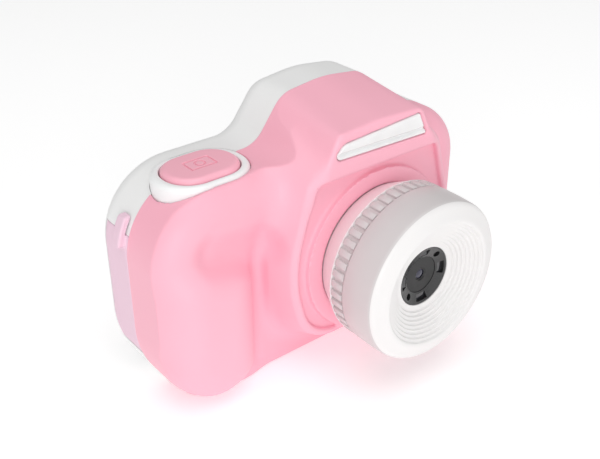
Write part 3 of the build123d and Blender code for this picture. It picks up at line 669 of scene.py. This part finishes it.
# Side faces keep the darker grey of painted shade; the front and the dish take the lighter front colour.
for face in barrel.data.polygons:
    in_dish = math.hypot(face.center.x, face.center.z - LENS_Z * MM) < DISH_RADIUS * MM
    face.material_index = int(face.center.y < -FACE_START * MM
                              or face.center.y < -DISH_START * MM and in_dish)

# ---------------------------------------------------------------- shutter button and its bezel
BUTTON_SIZE = (17.4, 12.8, 6.1)
BUTTON_TOP = 54.2
BUTTON_UNDER = 49.8
BEZEL_TOP = 53.2
BEZEL_FLOOR = 46.6
BEZEL_BOTTOM = 44.0
CROWN = (0.0022, 0.0035)                  # how fast the button's top falls away along x and y
STEM_RADIUS = 1.5
STEM_HOLE_RADIUS = 2.0
STEM_BOTTOM = 45.5
FRAME_HALF = (3.05, 1.95)                 # engraved frame and ring on the button
MARK_RADIUS = 1.1
LINE_HALF = 0.17
LINE_DEPTH = 0.3


def pictogram(x, y):
    """Distance to the engraved lines on the button: a small frame with a ring in it."""
    dx, dy = x - BEZEL_CENTRE[0], y - BEZEL_CENTRE[1]
    frame_line = np.abs(np.maximum(np.abs(dx) - FRAME_HALF[0], np.abs(dy) - FRAME_HALF[1])) - LINE_HALF
    ring_line = np.abs(np.hypot(dx, dy) - MARK_RADIUS) - LINE_HALF
    return np.minimum(frame_line, ring_line)


def button_field(x, y, z):
    """The button: a soft-edged oval cap with a slight crown, and a stem below."""
    dx, dy = x - BEZEL_CENTRE[0], y - BEZEL_CENTRE[1]
    crown = CROWN[0] * dx ** 2 + CROWN[1] * dy ** 2
    cap = rounded_end(oval(x, y, BUTTON_SIZE), z - BUTTON_TOP + crown, 1.3)
    cap = np.maximum(cap, BUTTON_UNDER - z)
    cap = cut(cap, np.maximum(pictogram(x, y), BUTTON_TOP - crown - LINE_DEPTH - z), 0.12)
    stem_ends = np.maximum(z - BUTTON_UNDER - 0.5, STEM_BOTTOM - z)
    stem = np.maximum(np.hypot(dx, dy) - STEM_RADIUS, stem_ends)
    return np.minimum(cap, stem)


def bezel_field(x, y, z):
    """The oval bezel: a soft lip, a well for the button, and a hole in the floor for its stem."""
    dx, dy = x - BEZEL_CENTRE[0], y - BEZEL_CENTRE[1]
    body = rounded_end(oval(x, y, BEZEL_SIZE), z - BEZEL_TOP, 1.25)
    body = np.maximum(body, BEZEL_BOTTOM - z)
    well = np.maximum(oval(x, y, BUTTON_SIZE, 0.25), BEZEL_FLOOR - z)
    body = cut(body, well, 0.35)
    return np.maximum(body, STEM_HOLE_RADIUS - np.hypot(dx, dy))


def field_piece(name, field, low, high, spacing, body, material, node, slot, degrees=50):
    """A piece meshed from its distance field, standing for one CAD node."""
    points, quads = surface_net(field, low, high, spacing)
    return sharpen(mesh_piece(name, points, quads, body, material, [node], slot), degrees)


COARSE = 1.0
field_piece("button_cap", button_field, (-44.6, -9.4, 45.0), (-25.8, 4.6, 54.8), 0.16 * COARSE, "shutter",
            PINK_BUTTON, "shutter_button", "pink_shell")
field_piece("button_bezel", bezel_field, (-46.8, -11.4, 43.4), (-23.6, 6.6, 53.9), 0.2 * COARSE, "housing",
            WHITE_BEZEL, "shutter_bezel", "white_shell")

SPRING_RADIUS = 3.0
SPRING_TURNS = 3.1
SPRING_FOOT = 46.85
SPRING_HEIGHT = 2.65
SPRING_WIRE = 0.2                         # radius of the wire
SPRING_STEPS = 120
WIRE_SIDES = 10


def coil():
    """Points and faces of the return spring's wire."""
    steps, around = SPRING_STEPS, WIRE_SIDES
    points, faces = [], []
    for step in range(steps + 1):
        share = step / steps
        turn = 2 * math.pi * SPRING_TURNS * share
        for side in range(around):
            tilt = 2 * math.pi * side / around
            radius = SPRING_RADIUS + SPRING_WIRE * math.cos(tilt)
            points.append((BEZEL_CENTRE[0] + radius * math.cos(turn),
                           BEZEL_CENTRE[1] + radius * math.sin(turn),
                           SPRING_FOOT + SPRING_HEIGHT * share + SPRING_WIRE * math.sin(tilt)))
    for step in range(steps):
        for side in range(around):
            across = (side + 1) % around
            faces.append((step * around + side, (step + 1) * around + side,
                          (step + 1) * around + across, step * around + across))
    faces.append(tuple(range(around)))
    faces.append(tuple(steps * around + side for side in reversed(range(around))))
    return points, faces


spring = mesh_piece("return_spring", *coil(), "housing", SPRING, ["shutter_spring"], "spring_steel")
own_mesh(spring)


# ---------------------------------------------------------------- flash window
WINDOW_FRONT = 20.38
WINDOW_BACK = 18.95
WINDOW_HOLLOW = 19.5                      # forward distance of the hollow in the window's back
WINDOW_GAP = 0.12
WINDOW_WALL = 0.9
CHANNEL_DEPTH = 0.4


def window_field(x, y, z):
    """The flash's clear cover: a soft front edge, a shallow channel across its front, a hollow back."""
    deep = -y
    side = OUTLINES["flash"].distance(x, z) + WINDOW_GAP
    above_edge = z - 53.7 + 0.03 * x
    channel = CHANNEL_DEPTH * np.clip(1.4 - np.abs(above_edge - 1.35) * 2.4, 0, 1)
    plate = rounded_end(side, deep - WINDOW_FRONT + channel, 0.45)
    plate = np.maximum(plate, WINDOW_BACK - deep)
    return cut(plate, np.maximum(side + WINDOW_WALL, deep - WINDOW_HOLLOW), 0.2)


field_piece("flash_cover", window_field, (-15.0, -20.9, 52.6), (14.8, -18.5, 59.6), 0.2 * COARSE,
            "housing", CLEAR, "flash_window", "clear_plastic")

# ---------------------------------------------------------------- soft side door
DOOR_SPAN = ((0.15, 9.6), (11.15, 41.3))        # limits of the door in y and z
TAB_SPAN = ((0.9, 3.9), (38.6, 45.4))
BACK_DEPTH = 14.0
BACK_ROUNDING = 6.0
DOOR_DEPTH = 1.48                         # how far the door's skin goes in
TAB_DEPTH = 1.4
TAB_RISE = 1.62                           # how far the pull tab stands out
TAB_LIFT = 0.32                           # gap between the free end of the tab and the shell


def side_field(x, y, z):
    """Distance to the back shell's outer form."""
    return rounded_end(OUTLINES["whole"].distance(x, z), y - BACK_DEPTH, BACK_ROUNDING)


def span_field(y, z, spans, radius):
    """Distance to a rectangle with round corners in the YZ plane."""
    (y_low, y_high), (z_low, z_high) = spans
    qy = np.abs(y - (y_low + y_high) / 2) - (y_high - y_low) / 2 + radius
    qz = np.abs(z - (z_low + z_high) / 2) - (z_high - z_low) / 2 + radius
    return np.hypot(np.maximum(qy, 0), np.maximum(qz, 0)) + np.minimum(np.maximum(qy, qz), 0) - radius


def door_field(x, y, z):
    """The door's skin with its raised pull tab, all with soft edges."""
    depth = side_field(x, y, z)
    skin = rounded_end(span_field(y, z, DOOR_SPAN, 0.5), depth + 0.02, 0.25)
    skin = np.maximum(skin, -DOOR_DEPTH - depth)
    tab = rounded_end(span_field(y, z, TAB_SPAN, 0.8), depth - TAB_RISE, 0.5)
    root = np.maximum(tab, -TAB_DEPTH - depth)
    root = np.maximum(root, z - DOOR_SPAN[1][1])
    flap = np.maximum(tab, TAB_LIFT - depth)
    return np.minimum(union(skin, root, 0.4), flap)


field_piece("side_door", door_field, (-55.2, -0.3, 10.6), (-46.0, 10.2, 46.2), 0.2 * COARSE, "door",
            LILAC, "port_door", "lilac_soft")

# ---------------------------------------------------------------- stage, lights and camera
FLOOR_HALF = 9                            # metres
floor_mesh = bpy.data.meshes.new("floor")
floor_mesh.from_pydata([(-FLOOR_HALF, -FLOOR_HALF, 0), (FLOOR_HALF, -FLOOR_HALF, 0),
                        (FLOOR_HALF, FLOOR_HALF, 0), (-FLOOR_HALF, FLOOR_HALF, 0)], [], [(0, 1, 2, 3)])
floor = bpy.data.objects.new("floor", floor_mesh)
bpy.context.scene.collection.objects.link(floor)
floor_paint = Paint("floor_paper")
paper = floor_paint.blend(floor_paint.noise(0.002, 2.0), (0.93, 0.93, 0.93), (0.95, 0.95, 0.95))
floor_paint.link(paper, floor_paint.shader.inputs["Base Color"])
floor_paint.set(Roughness=0.9, Emission_Color=(1, 1, 1, 1), Emission_Strength=0.28)
floor_mesh.materials.append(floor_paint.material)

world = bpy.data.worlds.new("studio")
world.use_nodes = True
world.node_tree.nodes["Background"].inputs["Color"].default_value = (1, 1, 1, 1)
world.node_tree.nodes["Background"].inputs["Strength"].default_value = 0.38
bpy.context.scene.world = world
bpy.context.scene.view_settings.view_transform = "Standard"

AIM = Vector((-0.008, -0.012, 0.028))     # the point that every light faces


def area_light(name, place, size, power):
    """A rectangular lamp that faces the camera model, sized in metres and with its power in watts."""
    data = bpy.data.lights.new(name, "AREA")
    data.shape = "RECTANGLE"
    data.size, data.size_y = size
    data.energy = power
    lamp = bpy.data.objects.new(name, data)
    lamp.location = place
    lamp.rotation_euler = (AIM - Vector(place)).to_track_quat("-Z", "Y").to_euler()
    bpy.context.scene.collection.objects.link(lamp)


area_light("key_left", (-0.55, -0.66, 0.22), (0.5, 0.5), 2.6)
area_light("top_soft", (-0.1, -0.2, 1.0), (0.9, 0.9), 4.7)
area_light("front_fill", (0.25, -0.9, 0.35), (0.6, 0.6), 0.6)

SENSOR_WIDTH = 36
FOCAL_LENGTH = 53.886
CAMERA_PLACE = Vector((-0.1243, -0.1469, 0.1365))
CAMERA_ANGLES = (-38.703, 30.313, -0.186)           # azimuth, elevation and roll in degrees

camera_data = bpy.data.cameras.new("camera")
camera_data.sensor_width = SENSOR_WIDTH
camera_data.lens = FOCAL_LENGTH
camera = bpy.data.objects.new("camera", camera_data)
azimuth, elevation, roll = [math.radians(angle) for angle in CAMERA_ANGLES]
back = Vector((math.sin(azimuth) * math.cos(elevation), -math.cos(azimuth) * math.cos(elevation),
               math.sin(elevation)))
right = Vector((math.cos(azimuth), math.sin(azimuth), 0))
up = back.cross(right)
across = right * math.cos(roll) + up * math.sin(roll)
upright = up * math.cos(roll) - right * math.sin(roll)
facing = Matrix((across, upright, back)).transposed()
camera.matrix_world = Matrix.Translation(CAMERA_PLACE) @ facing.to_4x4()
bpy.context.scene.collection.objects.link(camera)
bpy.context.scene.camera = camera
